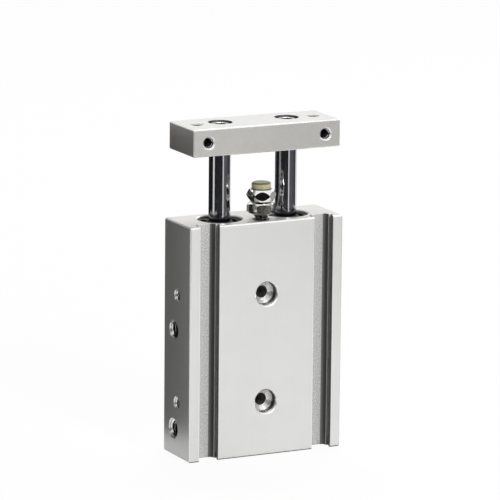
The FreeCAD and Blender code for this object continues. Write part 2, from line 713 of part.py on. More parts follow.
pieces = [make_housing(), make_end_plate(), make_bumper_bolt(), make_lock_nut(), make_stop_bumper(),
          make_port_plug("port_plug_lower", "lower_port_z"),
          make_port_plug("port_plug_upper", "upper_port_z")]
for side, sign in SIDES.items():
    x = f"{sign} * rod_side"
    pieces += [make_rod_cover(f"rod_cover_{side}", x),
               make_oring(f"rod_cover_oring_{side}", x, "rod_cover_bottom + oring_setback"),
               make_rod_seal(f"rod_seal_{side}", x),
               make_seal_retainer(f"seal_retainer_{side}", x),
               make_retaining_ring(f"rod_end_ring_{side}", x, "rod_ring_bottom"),
               make_head_cover(f"head_cover_{side}", x),
               make_oring(f"head_cover_oring_{side}", x, "head_flange_bottom + head_flange_thickness / 2"),
               make_retaining_ring(f"head_end_ring_{side}", x, "ring_inset"),
               make_piston_rod(f"piston_rod_{side}", x),
               make_rod_screw(f"rod_screw_{side}", x),
               make_piston(f"piston_{side}", x),
               make_piston_seal(f"piston_seal_{side}", x),
               make_magnet(f"piston_magnet_{side}", x),
               make_rod_side_bumper(f"rod_side_bumper_{side}", x),
               make_head_side_bumper(f"head_side_bumper_{side}", x)]
doc.recompute()

for item in doc.Objects:
    if "Invalid" in item.State or "Error" in item.State:
        raise RuntimeError(f"{item.Label} did not compute: {item.State}")
for piece in pieces:
    if piece.Shape.isNull() or not piece.Shape.isValid() or len(piece.Shape.Solids) != 1:
        raise RuntimeError(f"{piece.Label} is not one sound solid")

os.makedirs("parts", exist_ok=True)
for piece in pieces:
    piece.Shape.exportStep(f"parts/{piece.Label}.step")
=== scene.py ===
import bmesh
import bpy
import json
import math
from mathutils import Matrix, Vector


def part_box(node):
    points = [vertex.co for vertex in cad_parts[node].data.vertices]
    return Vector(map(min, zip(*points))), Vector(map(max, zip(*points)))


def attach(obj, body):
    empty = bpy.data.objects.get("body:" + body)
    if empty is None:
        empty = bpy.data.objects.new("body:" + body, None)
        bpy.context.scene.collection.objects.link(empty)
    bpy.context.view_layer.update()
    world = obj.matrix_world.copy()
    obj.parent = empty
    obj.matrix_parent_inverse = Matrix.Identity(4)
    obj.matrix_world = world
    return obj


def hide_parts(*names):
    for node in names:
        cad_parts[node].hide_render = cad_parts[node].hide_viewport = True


# The guided pneumatic cylinder's studio, finishes and fine pieces, in the frame that the CAD was packed in.
# Shapes and finishes are in millimetres, and the studio is in metres.

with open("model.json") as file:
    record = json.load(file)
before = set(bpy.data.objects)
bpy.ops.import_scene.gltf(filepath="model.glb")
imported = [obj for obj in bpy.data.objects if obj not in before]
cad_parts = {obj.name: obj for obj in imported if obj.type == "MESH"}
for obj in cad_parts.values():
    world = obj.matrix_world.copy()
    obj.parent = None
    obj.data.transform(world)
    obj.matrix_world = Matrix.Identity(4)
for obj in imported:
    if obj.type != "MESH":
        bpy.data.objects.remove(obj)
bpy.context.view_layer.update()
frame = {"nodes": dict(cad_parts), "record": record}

MM = 0.001


def box_of(node):
    """A CAD node's low and high corners, in millimetres."""
    low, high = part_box(node)
    return low / MM, high / MM


def middle_of(node):
    low, high = box_of(node)
    return (low + high) / 2


def mount(name):
    """A mount from the part's record. Its places are in metres and its sizes in millimetres."""
    return next(m for m in frame["record"]["mounts"] if m["name"] == name)


# ---------------------------------------------------------------- camera

LOOK_AT = Vector((0, 0, 45 * MM))  # the point that the camera's circle is drawn about
CAMERA_AZIMUTH = math.radians(-26.358)  # from the front, towards the left
CAMERA_ELEVATION = math.radians(12.445)
CAMERA_ROLL = math.radians(0.559)
CAMERA_DISTANCE = 1135.86 * MM
CAMERA_LENS = 299.82  # millimetres on a 36 mm sensor
AIM_RIGHT = -1.034 * MM  # where the picture's centre lies, from LOOK_AT
AIM_UP = 10.343 * MM


def make_camera():
    """The camera at the photograph's view."""
    back = Vector((math.sin(CAMERA_AZIMUTH) * math.cos(CAMERA_ELEVATION),
                   -math.cos(CAMERA_AZIMUTH) * math.cos(CAMERA_ELEVATION),
                   math.sin(CAMERA_ELEVATION)))
    right = Vector((0, 0, 1)).cross(back).normalized()
    up = back.cross(right)
    place = LOOK_AT + back * CAMERA_DISTANCE
    aim = LOOK_AT + right * AIM_RIGHT + up * AIM_UP
    camera = bpy.data.objects.new("camera", bpy.data.cameras.new("camera"))
    bpy.context.scene.collection.objects.link(camera)
    turned = (place - aim).to_track_quat("Z", "Y").to_matrix().to_4x4()
    camera.matrix_world = Matrix.Translation(place) @ turned @ Matrix.Rotation(CAMERA_ROLL, 4, "Z")
    camera.data.lens = CAMERA_LENS
    camera.data.clip_end = 20
    bpy.context.scene.camera = camera


make_camera()


# ---------------------------------------------------------------- studio

def add_node(tree, kind, operation=None, **inputs):
    """A node whose inputs are given by name, or by number as _0, _1, as values or other nodes' outputs."""
    node = tree.nodes.new(kind)
    if operation:
        node.operation = operation
    for name, value in inputs.items():
        socket = node.inputs[int(name[1:])] if name.startswith("_") else node.inputs[name.replace("_", " ")]
        if isinstance(value, bpy.types.NodeSocket):
            tree.links.new(value, socket)
        else:
            socket.default_value = value
    return node


def seen_directly(tree):
    """1 on rays from the camera, off gloss or through glass, and 0 on all others."""
    path = tree.nodes.new("ShaderNodeLightPath")
    both = add_node(tree, "ShaderNodeMath", "MAXIMUM",
                    _0=path.outputs["Is Camera Ray"], _1=path.outputs["Is Glossy Ray"])
    every = add_node(tree, "ShaderNodeMath", "MAXIMUM",
                     _0=both.outputs[0], _1=path.outputs["Is Transmission Ray"])
    return every.outputs[0]


def make_world():
    """White where it is seen, and dim where it only lights matt surfaces."""
    world = bpy.data.worlds.new("studio")
    bpy.context.scene.world = world
    world.use_nodes = True
    tree = world.node_tree
    tree.nodes.clear()
    strength = add_node(tree, "ShaderNodeMapRange", _0=seen_directly(tree), _3=0.15, _4=1.0)
    light = add_node(tree, "ShaderNodeBackground", Color=(1, 1, 1, 1), Strength=strength.outputs[0])
    output = tree.nodes.new("ShaderNodeOutputWorld")
    tree.links.new(light.outputs[0], output.inputs["Surface"])


def make_floor():
    """A pale floor just under the part, which glows where it is seen so that it meets the world's white."""
    bpy.ops.mesh.primitive_plane_add(size=30, location=(0, 0, -0.05 * MM))
    floor = bpy.context.object
    floor.name = "floor"
    material = bpy.data.materials.new("floor_white")
    material.use_nodes = True
    tree = material.node_tree
    tree.nodes.clear()
    lit = add_node(tree, "ShaderNodeBsdfDiffuse", Color=(0.5, 0.5, 0.5, 1))
    glow = add_node(tree, "ShaderNodeEmission", Color=(1, 1, 1, 1), Strength=1.09)
    share = add_node(tree, "ShaderNodeMapRange", _0=seen_directly(tree), _3=0.0, _4=0.86)
    mixed = add_node(tree, "ShaderNodeMixShader", _0=share.outputs[0], _1=lit.outputs[0], _2=glow.outputs[0])
    output = tree.nodes.new("ShaderNodeOutputMaterial")
    tree.links.new(mixed.outputs[0], output.inputs["Surface"])
    floor.data.materials.append(material)


def make_card(name, first, last, distance, bottom, top, shade):
    """A curved studio card between two azimuths, in degrees from the front towards the right.

    Only gloss shows it: it gives the bright metal its dark and grey bands, and casts no shadow.
    """
    mesh = bpy.data.meshes.new(name)
    steps = max(2, round((last - first) / 5))  # about 5 degrees each
    corners = []
    for k in range(steps + 1):
        azimuth = math.radians(first + (last - first) * k / steps)
        for height in (bottom, top):
            corners.append((distance * math.sin(azimuth), -distance * math.cos(azimuth), height))
    mesh.from_pydata(corners, [], [(2 * k, 2 * k + 2, 2 * k + 3, 2 * k + 1) for k in range(steps)])
    card = bpy.data.objects.new(name, mesh)
    bpy.context.scene.collection.objects.link(card)
    card.visible_camera = False
    card.visible_shadow = False
    card.visible_diffuse = False
    material = bpy.data.materials.new(name)
    material.use_nodes = True
    tree = material.node_tree
    tree.nodes.clear()
    felt = add_node(tree, "ShaderNodeBsdfDiffuse", Color=(shade, shade, shade, 1))
    output = tree.nodes.new("ShaderNodeOutputMaterial")
    tree.links.new(felt.outputs[0], output.inputs["Surface"])
    mesh.materials.append(material)


def add_lamp(name, place, width, height, power):
    """A white area lamp that faces the part."""
    data = bpy.data.lights.new(name, "AREA")
    data.energy = power
    data.shape = "RECTANGLE"
    data.size = width
    data.size_y = height
    lamp = bpy.data.objects.new(name, data)
    bpy.context.scene.collection.objects.link(lamp)
    lamp.location = place
    lamp.rotation_euler = (Vector(place) - LOOK_AT).to_track_quat("Z", "Y").to_euler()


make_world()
make_floor()
# Each card's azimuths, distance, bottom and top, and how light its felt is
make_card("card_front_left", -82, 2.5, 0.2, 0.015, 0.11, 0.04)
make_card("card_right", 13, 78, 0.2, 0.015, 0.11, 0.28)
make_card("card_far_right", 78, 93, 0.2, 0.015, 0.11, 0.05)
make_card("card_left", -165, -97, 0.04, 0.0, 0.088, 0.02)
make_card("card_back_left", -190, -160, 0.2, 0.0, 0.12, 0.04)
add_lamp("key_lamp", place=(0.14, -1.0, 0.42), width=0.16, height=0.6, power=7.7)
add_lamp("top_lamp", place=(0.25, 0.5, 1.0), width=0.6, height=0.6, power=6.5)
add_lamp("right_lamp", place=(0.95, 0.35, 0.4), width=0.4, height=0.4, power=1.5)


# ---------------------------------------------------------------- materials

class Paint:
    """A procedural material with one Principled shader. Lengths are in millimetres on the object."""

    def __init__(self, name):
        self.material = bpy.data.materials.new(name)
        self.material.use_nodes = True
        self.tree = self.material.node_tree
        self.tree.nodes.clear()
        self.shader = self.tree.nodes.new("ShaderNodeBsdfPrincipled")
        output = self.tree.nodes.new("ShaderNodeOutputMaterial")
        self.tree.links.new(self.shader.outputs[0], output.inputs["Surface"])
        place = self.tree.nodes.new("ShaderNodeTexCoord").outputs["Object"]
        self.place = add_node(self.tree, "ShaderNodeVectorMath", "SCALE", _0=place, Scale=1 / MM).outputs[0]
        self.xyz = add_node(self.tree, "ShaderNodeSeparateXYZ", _0=self.place).outputs
        facing = self.tree.nodes.new("ShaderNodeTexCoord").outputs["Normal"]
        self.facing = add_node(self.tree, "ShaderNodeSeparateXYZ", _0=facing).outputs

    def set(self, **inputs):
        for name, value in inputs.items():
            socket = self.shader.inputs[name.replace("_", " ")]
            if isinstance(value, bpy.types.NodeSocket):
                self.tree.links.new(value, socket)
            else:
                socket.default_value = value

    def math(self, operation, a, b=0.0):
        """A Math node's result. Each of a and b is a number or another node's output."""
        return add_node(self.tree, "ShaderNodeMath", operation, _0=a, _1=b).outputs[0]

    def size(self, value):
        """A value without its sign."""
        return self.math("ABSOLUTE", value)

    def product(self, *factors):
        result = factors[0]
        for factor in factors[1:]:
            result = self.math("MULTIPLY", result, factor)
        return result

    def distance(self, a, b):
        """How far a point at a and b is from their origin."""
        return self.math("SQRT", self.math("ADD", self.product(a, a), self.product(b, b)))

    def highest(self, *values):
        result = values[0]
        for value in values[1:]:
            result = self.math("MAXIMUM", result, value)
        return result

    def noise(self, size, detail=2.0, stretch=(1, 1, 1), roughness=0.5):
        """Soft noise from 0 to 1 whose blotches are size across, times stretch along each axis."""
        scaled = add_node(self.tree, "ShaderNodeVectorMath", "MULTIPLY", _0=self.place,
                          _1=[1 / (size * s) for s in stretch]).outputs[0]
        return add_node(self.tree, "ShaderNodeTexNoise", Vector=scaled, Scale=1.0, Detail=detail,
                        Roughness=roughness).outputs[0]

    def step(self, value, low, high, start=0.0, end=1.0):
        """start below low, end above high, and a smooth run between them."""
        node = add_node(self.tree, "ShaderNodeMapRange", _0=value, _1=low, _2=high, _3=start, _4=end)
        node.interpolation_type = "SMOOTHSTEP"
        return node.outputs[0]

    def below(self, value, low, high):
        """1 below low and 0 above high."""
        return self.step(value, low, high, 1.0, 0.0)

    def between(self, value, start, full, fade, end):
        """0 up to start, 1 from full to fade, and 0 again from end."""
        return self.product(self.step(value, start, full), self.below(value, fade, end))

    def mottled(self, noise, dark, light, low=0.3, high=0.7):
        """A colour that runs from dark to light with a noise."""
        return self.mix(self.step(noise, low, high), dark, light)

    def mix(self, share, a, b):
        """The colour a where share is 0, and b where it is 1."""
        node = self.tree.nodes.new("ShaderNodeMix")
        node.data_type = "RGBA"
        for socket, value in zip((node.inputs[0], node.inputs[6], node.inputs[7]), (share, a, b)):
            if isinstance(value, bpy.types.NodeSocket):
                self.tree.links.new(value, socket)
            else:
                socket.default_value = value if isinstance(value, float) else (*value, 1)
        return node.outputs[2]

    def edges(self, radius):
        """1 on outside edges, for wear and a painted highlight, 0 on flat surfaces. It keeps the rounded
        normal for bump.
        """
        rounded = add_node(self.tree, "ShaderNodeBevel", Radius=radius * MM)
        rounded.samples = 6
        self.rounded = rounded.outputs[0]
        flat = self.tree.nodes.new("ShaderNodeNewGeometry").outputs["Normal"]
        same = add_node(self.tree, "ShaderNodeVectorMath", "DOT_PRODUCT", _0=self.rounded, _1=flat)
        return self.below(same.outputs[1], 0.9, 0.997)

    def open_to_light(self, reach, low, high):
        """0 deep inside holes and corners up to reach wide, where shade is painted, and 1 in the open."""
        node = add_node(self.tree, "ShaderNodeAmbientOcclusion", Distance=reach * MM)
        node.samples = 8
        return self.step(node.outputs[1], low, high)

    def chamfer(self, axis, low, high):
        """1 on faces at about 45 degrees to an axis that lie just inside low or high along it."""
        middle, outermost = (low + high) / 2, (high - low) / 2 - 0.42
        leaning = self.size(self.facing[axis])
        slanted = self.between(leaning, 0.45, 0.55, 0.85, 0.93)
        outside = self.size(self.math("SUBTRACT", self.xyz[axis], middle))
        return self.product(slanted, self.step(outside, outermost - 0.05, outermost))

    def bump(self, height, depth, normal=None):
        """Relief of up to depth, in thousandths of a millimetre."""
        inputs = {"Height": height, "Distance": depth * 1e-6, "Strength": 1.0}
        if normal is not None:
            inputs["Normal"] = normal
        return add_node(self.tree, "ShaderNodeBump", **inputs).outputs[0]


def tinted(colour, factor):
    """A colour made lighter or darker."""
    return tuple(min(1.0, c * factor) for c in colour)


def satin_metal(name, colour, metallic, rough, grain=(0.12, (1, 1, 1)), grain_depth=3.0,
                edge=0.25, edge_gain=1.15, edge_rough=0.2, **constants):
    """Metal with fine grain, faint clouding, and smoother edges painted brighter for wear and as a painted
    highlight.
    """
    paint = Paint(name)
    cloud = paint.noise(6.0, 3.0)
    fine = paint.noise(grain[0], 2.0, grain[1])
    toned = paint.mottled(cloud, tinted(colour, 0.97), tinted(colour, 1.03))
    speck = paint.mottled(fine, tinted(colour, 0.94), tinted(colour, 1.04), 0.35, 0.65)
    # edges painted brighter: partly wear, partly a painted highlight
    wear_and_highlight = paint.edges(edge)
    base = paint.mix(wear_and_highlight, paint.mix(0.35, toned, speck), tinted(colour, edge_gain))
    uneven = paint.math("ADD", paint.step(fine, 0.3, 0.7, rough - 0.04, rough + 0.04),
                        paint.step(cloud, 0.3, 0.7, -0.02, 0.02))
    roughness = paint.math("ADD", uneven, paint.product(wear_and_highlight, edge_rough - rough))
    paint.set(Base_Color=base, Roughness=roughness, Metallic=metallic,
              Normal=paint.bump(fine, grain_depth), **constants)
    return paint


ANODISED = (0.73, 0.727, 0.712)
# the bright colour of the cut chamfers, also used for painted highlights
CUT_AND_HIGHLIGHT = (0.97, 0.97, 0.965)
SHADOW = (0.012, 0.012, 0.012)
GROOVE_MOUTH = (14.25, 20.0)  # the sensor grooves' mouths, from the middle
GROOVE_INSIDE = (13.6, 20.7)  # their undercuts' walls
GROOVE_BACK = -3.9  # just behind their floors


def groove_mask(paint, inner_fade, outer_fade):
    """1 in the sensor grooves, fading over a stretch at their inner and outer walls."""
    inner, outer = GROOVE_INSIDE
    across = paint.size(paint.xyz[0])
    return paint.product(paint.between(across, inner - inner_fade, inner, outer, outer + outer_fade),
                         paint.below(paint.xyz[1], GROOVE_BACK, GROOVE_BACK + 0.3))


def housing_colour(paint, fine, drawn, coarse, groove, in_groove):
    """The extrusion before its edges are cut: drawn sides, mottled grooves, milled ends, and painted shade
    on the grooves' walls.
    """
    cloud = paint.noise(7.0, 3.0)
    toned = paint.mottled(cloud, tinted(ANODISED, 0.98), tinted(ANODISED, 1.015))
    lined = paint.mottled(drawn, tinted(ANODISED, 0.985), tinted(ANODISED, 1.01))
    mottled = paint.mottled(coarse, tinted(ANODISED, 0.53), ANODISED, 0.36, 0.64)
    sides = paint.mix(groove, paint.mix(0.4, toned, lined), mottled)
    milled = paint.mottled(fine, (0.605, 0.592, 0.565), (0.645, 0.632, 0.605))
    body = paint.mix(paint.step(paint.size(paint.facing[2]), 0.9, 0.98), sides, milled)
    # painted shade: the grooves' walls are painted dark, those that face left the most
    walls = paint.highest(paint.below(paint.facing[0], -0.16, -0.02),
                          paint.step(paint.facing[0], 0.02, 0.16, 0.0, 0.4))
    return paint.mix(paint.product(in_groove, walls), body, (0.115, 0.115, 0.112))


def front_highlights(paint, low, high):
    """Painted highlights: bright lines along the grooves' lips and the top edge, on the front face alone."""
    inner, outer = GROOVE_MOUTH
    lips = paint.between(paint.size(paint.xyz[0]), inner - 0.3, inner - 0.2, outer + 0.2, outer + 0.3)
    top = paint.step(paint.xyz[2], high.z - 0.6, high.z - 0.55)
    lines = paint.highest(paint.product(lips, 0.6), paint.product(top, 0.96))
    return paint.product(lines, paint.below(paint.xyz[1], low.y + 0.3, low.y + 0.35))


def counterbore_walls(paint):
    """1 on the walls of the counterbores, but not at their mouths."""
    holes = mount("front_through_holes")
    middle, spread = holes["pos_m"][2] / MM, holes["dims"]["spacing_y_mm"] / 2
    from_middle = paint.size(paint.math("SUBTRACT", paint.xyz[2], middle))
    from_hole = paint.size(paint.math("SUBTRACT", from_middle, spread))
    from_axis = paint.distance(paint.xyz[0], from_hole)
    return paint.product(paint.between(from_axis, 3.19, 3.23, 3.27, 3.3),
                         paint.below(paint.size(paint.xyz[1]), 7.2, 7.4))


def make_housing_alloy():
    """Clear anodised extrusion: drawn faces, coarser in the sensor grooves, freshly cut edges painted
    bright, painted highlight lines, and painted shade in holes and corners.
    """
    low, high = box_of("housing")
    paint = Paint("housing_alloy_finish")
    x, y, z = paint.xyz
    fine = paint.noise(0.16, 2.0)
    drawn = paint.noise(0.5, 2.0, (1, 1, 60))
    coarse = paint.noise(0.26, 2.0, (1, 1, 1.2), 0.5)
    in_groove = groove_mask(paint, 0.1, 0.05)
    groove = paint.product(groove_mask(paint, 0.2, 0.2), paint.step(y, low.y + 0.1, low.y + 0.6))
    body = housing_colour(paint, fine, drawn, coarse, groove, in_groove)

    wear_and_highlight = paint.edges(0.2)
    at_side = paint.highest(paint.step(paint.size(x), high.x - 0.5, high.x - 0.45),
                            paint.step(paint.size(y), high.y - 0.5, high.y - 0.45, 0.25, 1.0))
    cut = paint.highest(paint.product(paint.chamfer(2, low.z, high.z), at_side),
                        paint.chamfer(1, low.y, high.y), paint.chamfer(0, low.x, high.x))
    # painted highlights: a bright line at the grooves' undercuts, the front face's lines, and in part the
    # cut chamfers and edges
    undercut_highlight = paint.between(y, low.y + 2.55, low.y + 2.65, low.y + 2.9, low.y + 3.05)
    cut_and_highlit = paint.highest(cut, paint.product(wear_and_highlight, 0.6), paint.product(undercut_highlight, in_groove, 0.85),
                          front_highlights(paint, low, high))
    base = paint.mix(cut_and_highlit, body, CUT_AND_HIGHLIGHT)
    shade = paint.math("MINIMUM", paint.open_to_light(2.5, 0.15, 0.6), paint.open_to_light(6.0, 0.06, 0.3))
    shade = paint.product(shade, paint.math("SUBTRACT", 1.0, paint.product(counterbore_walls(paint), 0.95)))
    base = paint.mix(shade, SHADOW, base)

    level = paint.math("ADD", paint.step(fine, 0.3, 0.7, 0.37, 0.42), paint.product(groove, 0.12))
    roughness = paint.math("ADD", level, paint.product(cut_and_highlit, -0.15))
    grain = paint.math("ADD", paint.product(drawn, 0.15), paint.product(coarse, groove, 2.2))
    relief = paint.math("ADD", paint.product(fine, 0.35), grain)
    sideways = paint.step(paint.size(paint.facing[0]), 0.3, 0.5)
    at_top = paint.step(z, high.z - 0.5, high.z - 0.45, 0.5, 1.0)
    bare = paint.math("SUBTRACT", 0.5, paint.product(sideways, at_top))
    metallic = paint.math("ADD", 0.5, paint.product(cut, bare))
    paint.set(Base_Color=base, Roughness=roughness, Metallic=metallic,
              Normal=paint.bump(relief, 9.0, paint.rounded))
    return paint


def screw_pocket_walls(paint):
    """1 on the walls of the pockets that the rod screws' heads lie in."""
    pocket = middle_of("rod_screw_right")
    across = paint.math("SUBTRACT", paint.size(paint.xyz[0]), pocket.x)
    along = paint.math("SUBTRACT", paint.xyz[1], pocket.y)
    upright = paint.below(paint.size(paint.facing[2]), 0.3, 0.6)
    return paint.product(paint.below(paint.distance(across, along), 3.5, 3.6), upright)


def make_plate_alloy():
    """Clear anodised bar with milled sides and a finer, brighter ground top and bottom, edges painted bright
    partly as highlights, and painted shade in holes and pockets.
    """
    side, top = (0.51, 0.497, 0.47), (0.63, 0.627, 0.61)
    low, high = box_of("end_plate")
    paint = Paint("plate_alloy_finish")
    ground = paint.step(paint.size(paint.facing[2]), 0.75, 0.95)
    cloud = paint.noise(5.0, 3.0)
    grain = paint.noise(0.14, 3.0, (3.0, 1, 1), 0.6)
    milled = paint.mottled(grain, tinted(side, 0.95), tinted(side, 1.05))
    lapped = paint.mottled(grain, tinted(top, 0.96), tinted(top, 1.03))
    toned = paint.mix(ground, milled, lapped)
    body = paint.mix(paint.step(cloud, 0.3, 0.7, 0.0, 0.06), toned, (0.8, 0.8, 0.78))

    wear_and_highlight = paint.edges(0.18)
    at_side = paint.highest(paint.step(paint.size(paint.xyz[0]), high.x - 0.5, high.x - 0.45),
                            paint.step(paint.size(paint.xyz[1]), high.y - 0.5, high.y - 0.45))
    # cut chamfers and worn edges painted bright, in part as painted highlights
    cut_and_highlit = paint.highest(paint.product(paint.chamfer(2, low.z, high.z), at_side),
                          paint.chamfer(1, low.y, high.y), paint.product(wear_and_highlight, at_side, 0.6))
    base = paint.mix(cut_and_highlit, body, (0.95, 0.945, 0.93))
    shade = paint.math("MINIMUM", paint.open_to_light(2.0, 0.15, 0.5), paint.open_to_light(6.0, 0.06, 0.3))
    shade = paint.product(shade, paint.step(screw_pocket_walls(paint), 0.0, 1.0, 1.0, 0.25))
    base = paint.mix(shade, SHADOW, base)
    roughness = paint.math("ADD", paint.step(grain, 0.3, 0.7, 0.37, 0.44), paint.product(cut_and_highlit, -0.15))
    paint.set(Base_Color=base, Roughness=roughness, Metallic=0.5,
              Normal=paint.bump(grain, 3.5, paint.rounded))
    return paint


FOOT_SHADE_TO = 66.0  # the rods are painted dark with shade below this height, over a ragged millimetre


def make_hard_chrome():
    """Ground and polished hard chrome, faintly streaked, and painted dark with shade at its foot."""
    paint = Paint("hard_chrome_finish")
    streak = paint.noise(0.5, 2.0, (1, 1, 80))
    rings = paint.noise(0.12, 1.0, (60, 60, 1))
    film = paint.noise(4.0, 3.0)
    polished = paint.mottled(streak, (0.54, 0.545, 0.59), (0.61, 0.615, 0.655))
    ragged = paint.math("ADD", paint.xyz[2], paint.step(streak, 0.3, 0.7, -0.15, 0.15))
    # painted shade: the rod's foot is painted near black
    base = paint.mix(paint.step(ragged, FOOT_SHADE_TO, FOOT_SHADE_TO + 1), (0.07, 0.07, 0.078), polished)
    roughness = paint.math("ADD", paint.step(rings, 0.3, 0.7, 0.07, 0.1),
                           paint.step(film, 0.3, 0.7, 0.0, 0.03))
    paint.set(Base_Color=base, Roughness=roughness, Metallic=1.0, Normal=paint.bump(rings, 0.25))
    return paint


def make_amber_urethane():
    """Soft translucent amber urethane, cloudy, with painted shade on its rim and its top and a painted
    shadow at the bolt's head.
    """
    paint = Paint("amber_urethane_finish")
    cloud = paint.noise(1.2, 3.0)
    skin = paint.noise(0.1, 2.0)
    head = box_of("bumper_bolt")[1].z
    base = paint.mottled(cloud, (0.50, 0.47, 0.26), (0.60, 0.57, 0.35))
    # painted shade: the rounded rim painted darkest and the flat top dark
    base = paint.mix(paint.step(paint.facing[2], 0.1, 0.5), base, (0.15, 0.15, 0.06))
    base = paint.mix(paint.step(paint.facing[2], 0.93, 0.99), base, (0.28, 0.29, 0.19))
    # painted shadow: a dark band where the bumper meets the bolt's head
    base = paint.mix(paint.step(paint.xyz[2], head + 0.1, head + 0.4), (0.16, 0.14, 0.07), base)
    paint.set(Base_Color=base, Roughness=paint.step(skin, 0.3, 0.7, 0.26, 0.36),
              Normal=paint.bump(skin, 2.0), Subsurface_Weight=0.7,
              Subsurface_Radius=(1.0, 0.85, 0.4), Subsurface_Scale=0.0012, IOR=1.5)
    return paint


def make_rubber(name, colour, rough):
    """Matt black rubber or ferrite with a faint skin."""
    paint = Paint(name)
    cloud = paint.noise(1.5, 3.0)
    skin = paint.noise(0.08, 2.0)
    base = paint.mottled(cloud, tinted(colour, 0.8), tinted(colour, 1.3))
    paint.set(Base_Color=base, Roughness=paint.step(skin, 0.3, 0.7, rough - 0.06, rough + 0.06),
              Normal=paint.bump(skin, 3.0), IOR=1.5, Specular_IOR_Level=0.15)
    return paint


def make_bright_steel(name, light, recess, flats=1.0):
    """Plated steel: upright flats duller and darker than the polished faces and bevels, partly as a painted
    dark reflection, and painted shade in recesses.
    """
    paint = Paint(name)
    cloud = paint.noise(2.0, 3.0)
    fine = paint.noise(0.1, 2.0, (8, 8, 1))
    leaning = paint.step(paint.size(paint.facing[2]), 0.12, 0.3)
    # the flats' dark tone is partly a painted dark reflection
    dull_painted_dark = paint.mottled(fine, tinted((0.25, 0.242, 0.22), flats), tinted((0.31, 0.30, 0.275), flats))
    polished = paint.mottled(cloud, tinted((0.80, 0.79, 0.76), light), tinted((0.88, 0.87, 0.84), light))
    # edges painted bright: partly wear, partly a painted highlight
    wear_and_highlight = paint.edges(0.1)
    base = paint.mix(paint.highest(leaning, paint.product(wear_and_highlight, 0.8)), dull_painted_dark, polished)
    # painted shade in recesses
    base = paint.mix(paint.open_to_light(3.0, *recess), (0.02, 0.02, 0.019), base)
    paint.set(Base_Color=base, Roughness=paint.step(fine, 0.3, 0.7, 0.07, 0.12), Metallic=1.0,
              Normal=paint.bump(fine, 1.0))
    return paint


def make_cut_thread(name, recess):
    """Freshly cut thread, bright at the hole's mouth and painted black with shade further in."""
    paint = Paint(name)
    fine = paint.noise(0.06, 2.0)
    bright = paint.mottled(fine, (0.82, 0.81, 0.79), (0.92, 0.91, 0.89))
    # painted shade: black further into the hole
    base = paint.mix(paint.open_to_light(6.0, *recess), (0.01, 0.01, 0.01), bright)
    paint.set(Base_Color=base, Roughness=paint.step(fine, 0.3, 0.7, 0.18, 0.28), Metallic=0.9,
              Normal=paint.bump(fine, 2.0))
    return paint


# Each slot's finish, and finishes that new pieces wear in a slot of another name
finishes = {
    "housing_alloy": make_housing_alloy(),
    "plate_alloy": make_plate_alloy(),
    "hard_chrome": make_hard_chrome(),
    "amber_urethane": make_amber_urethane(),
    "black_rubber": make_rubber("black_rubber_finish", (0.016, 0.016, 0.017), 0.5),
    "magnet": make_rubber("magnet_finish", (0.045, 0.042, 0.04), 0.6),
    "cover_alloy": satin_metal("cover_alloy_finish", (0.42, 0.40, 0.36), 0.8, 0.3, (0.1, (20, 20, 1)), 2.0),
    # bolt and nut: one plated steel, the bolt's flats painted darker and the nut's lighter, as painted
    # reflections
    "bright_steel": make_bright_steel("bright_steel_finish", 1.0, (0.25, 0.7)),
    "nut_steel": make_bright_steel("nut_steel_finish", 1.08, (0.03, 0.2), 2.0),
    "recessed_steel": make_bright_steel("recessed_steel_finish", 0.4, (0.6, 0.88)),
    "black_steel": satin_metal("black_steel_finish", (0.02, 0.02, 0.0195), 0.0, 0.38, (0.08, (1, 1, 1)), 3.0,
                               edge=0.1, edge_gain=3.0, edge_rough=0.3, Specular_IOR_Level=0.2),
    # tapped threads, painted black with shade further in; cut_thread least, deep_thread most
    "cut_thread": make_cut_thread("cut_thread_finish", (0.22, 0.34)),
    "oiled_thread": make_cut_thread("oiled_thread_finish", (0.36, 0.52)),
    "deep_thread": make_cut_thread("deep_thread_finish", (0.5, 0.8)),
    "turned_alloy": satin_metal("turned_alloy_finish", (0.70, 0.695, 0.68), 0.8, 0.25, (0.3, (1, 1, 1)), 6.0,
                                edge=0.05, edge_gain=1.2, edge_rough=0.2),
}

for node in frame["nodes"].values():
    for place in node.material_slots:
        slot = place.material.name.split(".")[0]
        place.material = finishes[slot].material


# ---------------------------------------------------------------- shapes

def as_piece(mesh_data, name, body, slot, finish=None, sharp=32.0, replaced=()):
    """A new piece from a bmesh in millimetres, smooth but for edges of more than sharp degrees."""
    bmesh.ops.remove_doubles(mesh_data, verts=mesh_data.verts, dist=0.0005)
    bmesh.ops.dissolve_degenerate(mesh_data, edges=mesh_data.edges, dist=0.0004)
    bmesh.ops.recalc_face_normals(mesh_data, faces=mesh_data.faces)
    for face in mesh_data.faces:
        face.smooth = True
    for edge in mesh_data.edges:
        if len(edge.link_faces) == 2 and edge.calc_face_angle(0.0) > math.radians(sharp):
            edge.smooth = False
    bmesh.ops.scale(mesh_data, vec=(MM, MM, MM), verts=mesh_data.verts)
    mesh = bpy.data.meshes.new(name)
    mesh_data.to_mesh(mesh)
    mesh_data.free()
    mesh.materials.append(finishes[finish or slot].material)
    piece = bpy.data.objects.new(name, mesh)
    bpy.context.scene.collection.objects.link(piece)
    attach(piece, body)
    if replaced:
        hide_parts(*replaced)


def value_at(quantity, angle):
    return quantity(angle) if callable(quantity) else quantity


